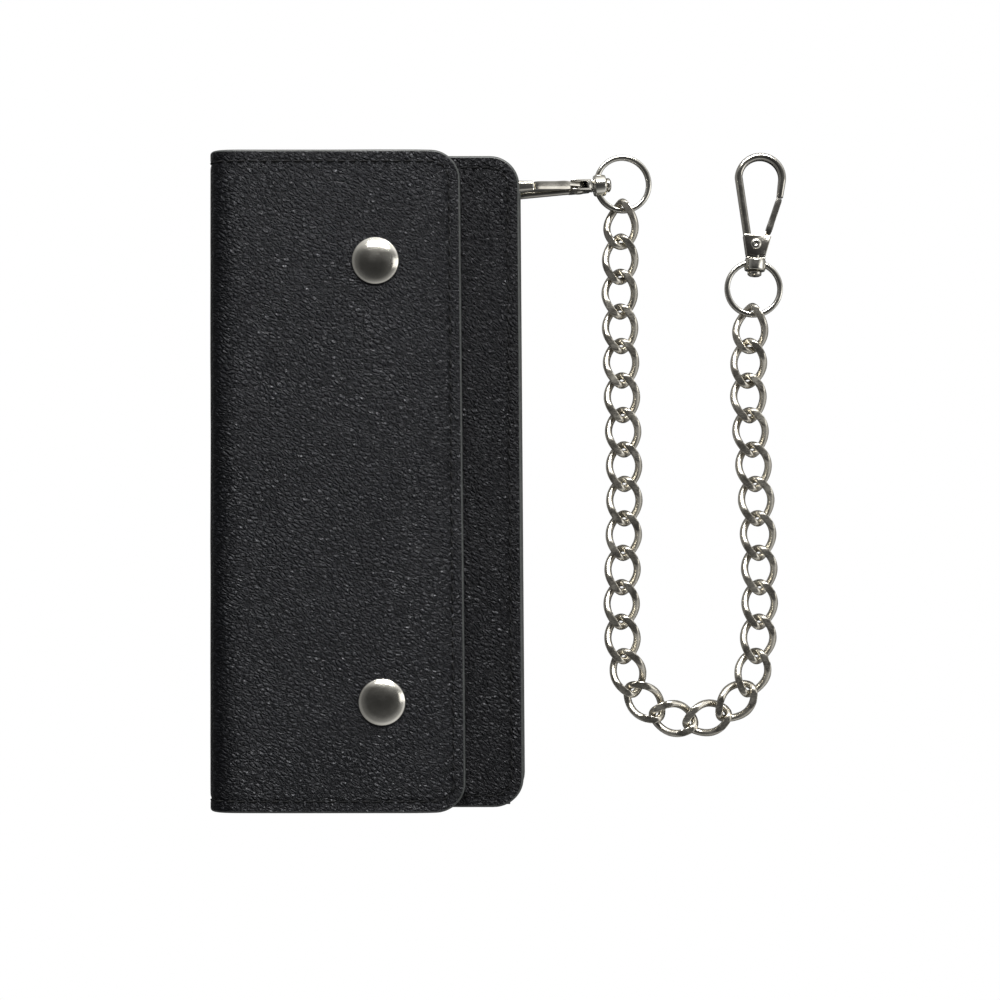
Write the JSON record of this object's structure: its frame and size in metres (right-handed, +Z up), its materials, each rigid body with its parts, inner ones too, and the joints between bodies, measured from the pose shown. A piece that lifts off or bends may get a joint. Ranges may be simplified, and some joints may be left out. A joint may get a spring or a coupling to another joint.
{
  "type": "chain wallet",
  "caption": "Long leather bifold wallet with a snapped flap, tethered by a curb chain with a swivel snap hook at each end.",
  "frame": {"origin": "the flat part of the back cover, in the middle of the wallet", "axes": "+X from the spine to the mouth edge, +Y along the spine towards the chain's eyelet, +Z up through the flap"},
  "size_m": [0.1596, 0.1812, 0.0243],
  "materials": {
    "leather": "pebble grain, satin",
    "lining": "smooth, matt",
    "nickel": "polished nickel plate",
    "chain_nickel": "nickel plate, lightly worn",
    "steel": "plain"
  },
  "bodies": {
    "wallet": {"back_cover": "leather", "back_lining": "lining", "bill_divider": "lining", "gusset_top": "leather", "gusset_bottom": "leather", "pocket_panel": "leather", "body_card_leaf_1": "lining", "body_card_leaf_2": "lining", "body_card_leaf_3": "lining", "eyelet": "nickel", "eyelet_washer": "nickel", "snap_studs": "nickel", "snap_posts": "steel"},
    "spine": {"spine_leather": "leather"},
    "flap": {"flap_cover": "leather", "flap_lining": "lining", "flap_card_leaf_1": "lining", "flap_card_leaf_2": "lining", "flap_card_leaf_3": "lining", "snap_caps": "nickel", "snap_sockets": "nickel"},
    "wallet_hook": {"wallet_hook": "nickel", "wallet_gate_pin": "steel", "wallet_gate_spring": "steel"},
    "wallet_gate": {"wallet_gate": "nickel"},
    "wallet_eye": {"wallet_eye": "nickel"},
    "link_01": {"link_01": "chain_nickel"},
    "link_02": {"link_02": "chain_nickel"},
    "link_03": {"link_03": "chain_nickel"},
    "link_04": {"link_04": "chain_nickel"},
    "link_05": {"link_05": "chain_nickel"},
    "link_06": {"link_06": "chain_nickel"},
    "link_07": {"link_07": "chain_nickel"},
    "link_08": {"link_08": "chain_nickel"},
    "link_09": {"link_09": "chain_nickel"},
    "link_10": {"link_10": "chain_nickel"},
    "link_11": {"link_11": "chain_nickel"},
    "link_12": {"link_12": "chain_nickel"},
    "link_13": {"link_13": "chain_nickel"},
    "link_14": {"link_14": "chain_nickel"},
    "link_15": {"link_15": "chain_nickel"},
    "link_16": {"link_16": "chain_nickel"},
    "link_17": {"link_17": "chain_nickel"},
    "link_18": {"link_18": "chain_nickel"},
    "link_19": {"link_19": "chain_nickel"},
    "link_20": {"link_20": "chain_nickel"},
    "link_21": {"link_21": "chain_nickel"},
    "link_22": {"link_22": "chain_nickel"},
    "link_23": {"link_23": "chain_nickel"},
    "link_24": {"link_24": "chain_nickel"},
    "link_25": {"link_25": "chain_nickel"},
    "link_26": {"link_26": "chain_nickel"},
    "link_27": {"link_27": "chain_nickel"},
    "link_28": {"link_28": "chain_nickel"},
    "link_29": {"link_29": "chain_nickel"},
    "belt_eye": {"belt_eye": "nickel"},
    "belt_hook": {"belt_hook": "nickel", "belt_gate_pin": "steel", "belt_gate_spring": "steel"},
    "belt_gate": {"belt_gate": "nickel"}
  },
  "joints": [
    {"name": "spine_fold", "type": "hinge", "parent": "wallet", "child": "spine", "pos_m": [-0.0412, 0, 0.0007], "axis": [0, -1, 0], "range_deg": [0, 90]},
    {"name": "flap_fold", "type": "hinge", "parent": "spine", "child": "flap", "pos_m": [-0.0412, 0, 0.02155], "axis": [0, -1, 0], "range_deg": [0, 90]},
    {"name": "wallet_hook_swing", "type": "hinge", "parent": "wallet", "child": "wallet_hook", "pos_m": [0.0359, 0.0802, 0.007], "axis": [0, 0, 1], "range_deg": [-8, 25]},
    {"name": "wallet_gate_swing", "type": "hinge", "parent": "wallet_hook", "child": "wallet_gate", "pos_m": [0.05878, 0.08203, 0.00498], "axis": [0.0785, -0.9969, 0], "range_deg": [0, 22], "stiffness_Nm_per_rad": 0.004, "springref_deg": -8.59},
    {"name": "wallet_swivel", "type": "hinge", "parent": "wallet_hook", "child": "wallet_eye", "pos_m": [0.06516, 0.08253, 0.00457], "axis": [-0.9907, -0.078, 0.1115], "continuous": true},
    {"name": "chain_joint_01", "type": "hinge", "parent": "wallet_eye", "child": "link_01", "pos_m": [0.07088, 0.07668, 0.004], "axis": [0, 0, 1], "range_deg": [-9, 21]},
    {"name": "chain_joint_02", "type": "hinge", "parent": "link_01", "child": "link_02", "pos_m": [0.07054, 0.06703, 0.0036], "axis": [0, 0, -1], "range_deg": [-10, 10]},
    {"name": "chain_joint_03", "type": "hinge", "parent": "link_02", "child": "link_03", "pos_m": [0.07037, 0.05739, 0.00275], "axis": [0, 0, 1], "range_deg": [-11, 28]},
    {"name": "chain_joint_04", "type": "hinge", "parent": "link_03", "child": "link_04", "pos_m": [0.07037, 0.04774, 0.0021], "axis": [0, 0, -1], "range_deg": [-32, 12]},
    {"name": "chain_joint_05", "type": "hinge", "parent": "link_04", "child": "link_05", "pos_m": [0.07071, 0.03809, 0.0019], "axis": [0, 0, 1], "range_deg": [-14, 28]},
    {"name": "chain_joint_06", "type": "hinge", "parent": "link_05", "child": "link_06", "pos_m": [0.07088, 0.02844, 0.0019], "axis": [0, 0, -1], "range_deg": [-23, 15]},
    {"name": "chain_joint_07", "type": "hinge", "parent": "link_06", "child": "link_07", "pos_m": [0.07122, 0.0188, 0.0019], "axis": [0, 0, 1], "range_deg": [-18, 19]},
    {"name": "chain_joint_08", "type": "hinge", "parent": "link_07", "child": "link_08", "pos_m": [0.07155, 0.00915, 0.0019], "axis": [0, 0, -1], "range_deg": [-16, 20]},
    {"name": "chain_joint_09", "type": "hinge", "parent": "link_08", "child": "link_09", "pos_m": [0.07172, -0.00049, 0.0019], "axis": [0, 0, 1], "range_deg": [-24, 14]},
    {"name": "chain_joint_10", "type": "hinge", "parent": "link_09", "child": "link_10", "pos_m": [0.07172, -0.01014, 0.0019], "axis": [0, 0, -1], "range_deg": [-13, 29]},
    {"name": "chain_joint_11", "type": "hinge", "parent": "link_10", "child": "link_11", "pos_m": [0.07138, -0.01979, 0.0019], "axis": [0, 0, 1], "range_deg": [-34, 11]},
    {"name": "chain_joint_12", "type": "hinge", "parent": "link_11", "child": "link_12", "pos_m": [0.07105, -0.02943, 0.0019], "axis": [0, 0, -1], "range_deg": [-10, 34]},
    {"name": "chain_joint_13", "type": "hinge", "parent": "link_12", "child": "link_13", "pos_m": [0.07088, -0.03908, 0.0019], "axis": [0, 0, 1], "range_deg": [-34, 10]},
    {"name": "chain_joint_14", "type": "hinge", "parent": "link_13", "child": "link_14", "pos_m": [0.07155, -0.04871, 0.0019], "axis": [0, 0, -1], "range_deg": [-9, 34]},
    {"name": "chain_joint_15", "type": "hinge", "parent": "link_14", "child": "link_15", "pos_m": [0.07405, -0.05803, 0.0019], "axis": [0, 0, 1], "range_deg": [-34, 4]},
    {"name": "chain_joint_16", "type": "hinge", "parent": "link_15", "child": "link_16", "pos_m": [0.08087, -0.06485, 0.0019], "axis": [0, 0, -1], "range_deg": [-4, 34]},
    {"name": "chain_joint_17", "type": "hinge", "parent": "link_16", "child": "link_17", "pos_m": [0.09019, -0.06735, 0.0019], "axis": [0, 0, 1], "range_deg": [-34, 4]},
    {"name": "chain_joint_18", "type": "hinge", "parent": "link_17", "child": "link_18", "pos_m": [0.09952, -0.06485, 0.0019], "axis": [0, 0, -1], "range_deg": [-4, 34]},
    {"name": "chain_joint_19", "type": "hinge", "parent": "link_18", "child": "link_19", "pos_m": [0.10634, -0.05803, 0.0019], "axis": [0, 0, 1], "range_deg": [-34, 4]},
    {"name": "chain_joint_20", "type": "hinge", "parent": "link_19", "child": "link_20", "pos_m": [0.10884, -0.04871, 0.0019], "axis": [0, 0, -1], "range_deg": [-9, 34]},
    {"name": "chain_joint_21", "type": "hinge", "parent": "link_20", "child": "link_21", "pos_m": [0.10951, -0.03908, 0.0019], "axis": [0, 0, 1], "range_deg": [-34, 9]},
    {"name": "chain_joint_22", "type": "hinge", "parent": "link_21", "child": "link_22", "pos_m": [0.10968, -0.02943, 0.0019], "axis": [0, 0, -1], "range_deg": [-10, 34]},
    {"name": "chain_joint_23", "type": "hinge", "parent": "link_22", "child": "link_23", "pos_m": [0.10934, -0.01979, 0.0019], "axis": [0, 0, 1], "range_deg": [-34, 11]},
    {"name": "chain_joint_24", "type": "hinge", "parent": "link_23", "child": "link_24", "pos_m": [0.10901, -0.01014, 0.0019], "axis": [0, 0, -1], "range_deg": [-13, 34]},
    {"name": "chain_joint_25", "type": "hinge", "parent": "link_24", "child": "link_25", "pos_m": [0.10833, -0.00052, 0.0019], "axis": [0, 0, 1], "range_deg": [-34, 14]},
    {"name": "chain_joint_26", "type": "hinge", "parent": "link_25", "child": "link_26", "pos_m": [0.10749, 0.0091, 0.0019], "axis": [0, 0, -1], "range_deg": [-16, 34]},
    {"name": "chain_joint_27", "type": "hinge", "parent": "link_26", "child": "link_27", "pos_m": [0.10665, 0.01871, 0.0021], "axis": [0, 0, 1], "range_deg": [-32, 19]},
    {"name": "chain_joint_28", "type": "hinge", "parent": "link_27", "child": "link_28", "pos_m": [0.10615, 0.02835, 0.00275], "axis": [0, 0, -1], "range_deg": [-22, 24]},
    {"name": "chain_joint_29", "type": "hinge", "parent": "link_28", "child": "link_29", "pos_m": [0.10648, 0.03799, 0.0036], "axis": [0, 0, 1], "range_deg": [-9, 25]},
    {"name": "chain_joint_30", "type": "hinge", "parent": "link_29", "child": "belt_eye", "pos_m": [0.10716, 0.04762, 0.004], "axis": [0, 0, -1], "range_deg": [-20, 34]},
    {"name": "belt_swivel", "type": "hinge", "parent": "belt_eye", "child": "belt_hook", "pos_m": [0.10801, 0.0599, 0.00353], "axis": [0.0696, 0.9957, -0.061], "continuous": true},
    {"name": "belt_gate_swing", "type": "hinge", "parent": "belt_hook", "child": "belt_gate", "pos_m": [0.10816, 0.06629, 0.00314], "axis": [0.0043, 0.0609, 0.9981], "range_deg": [0, 22], "stiffness_Nm_per_rad": 0.004, "springref_deg": -8.59}
  ],
  "couplings": [
    {"joint": "flap_fold", "follows": "spine_fold", "ratio": 1}
  ]
}
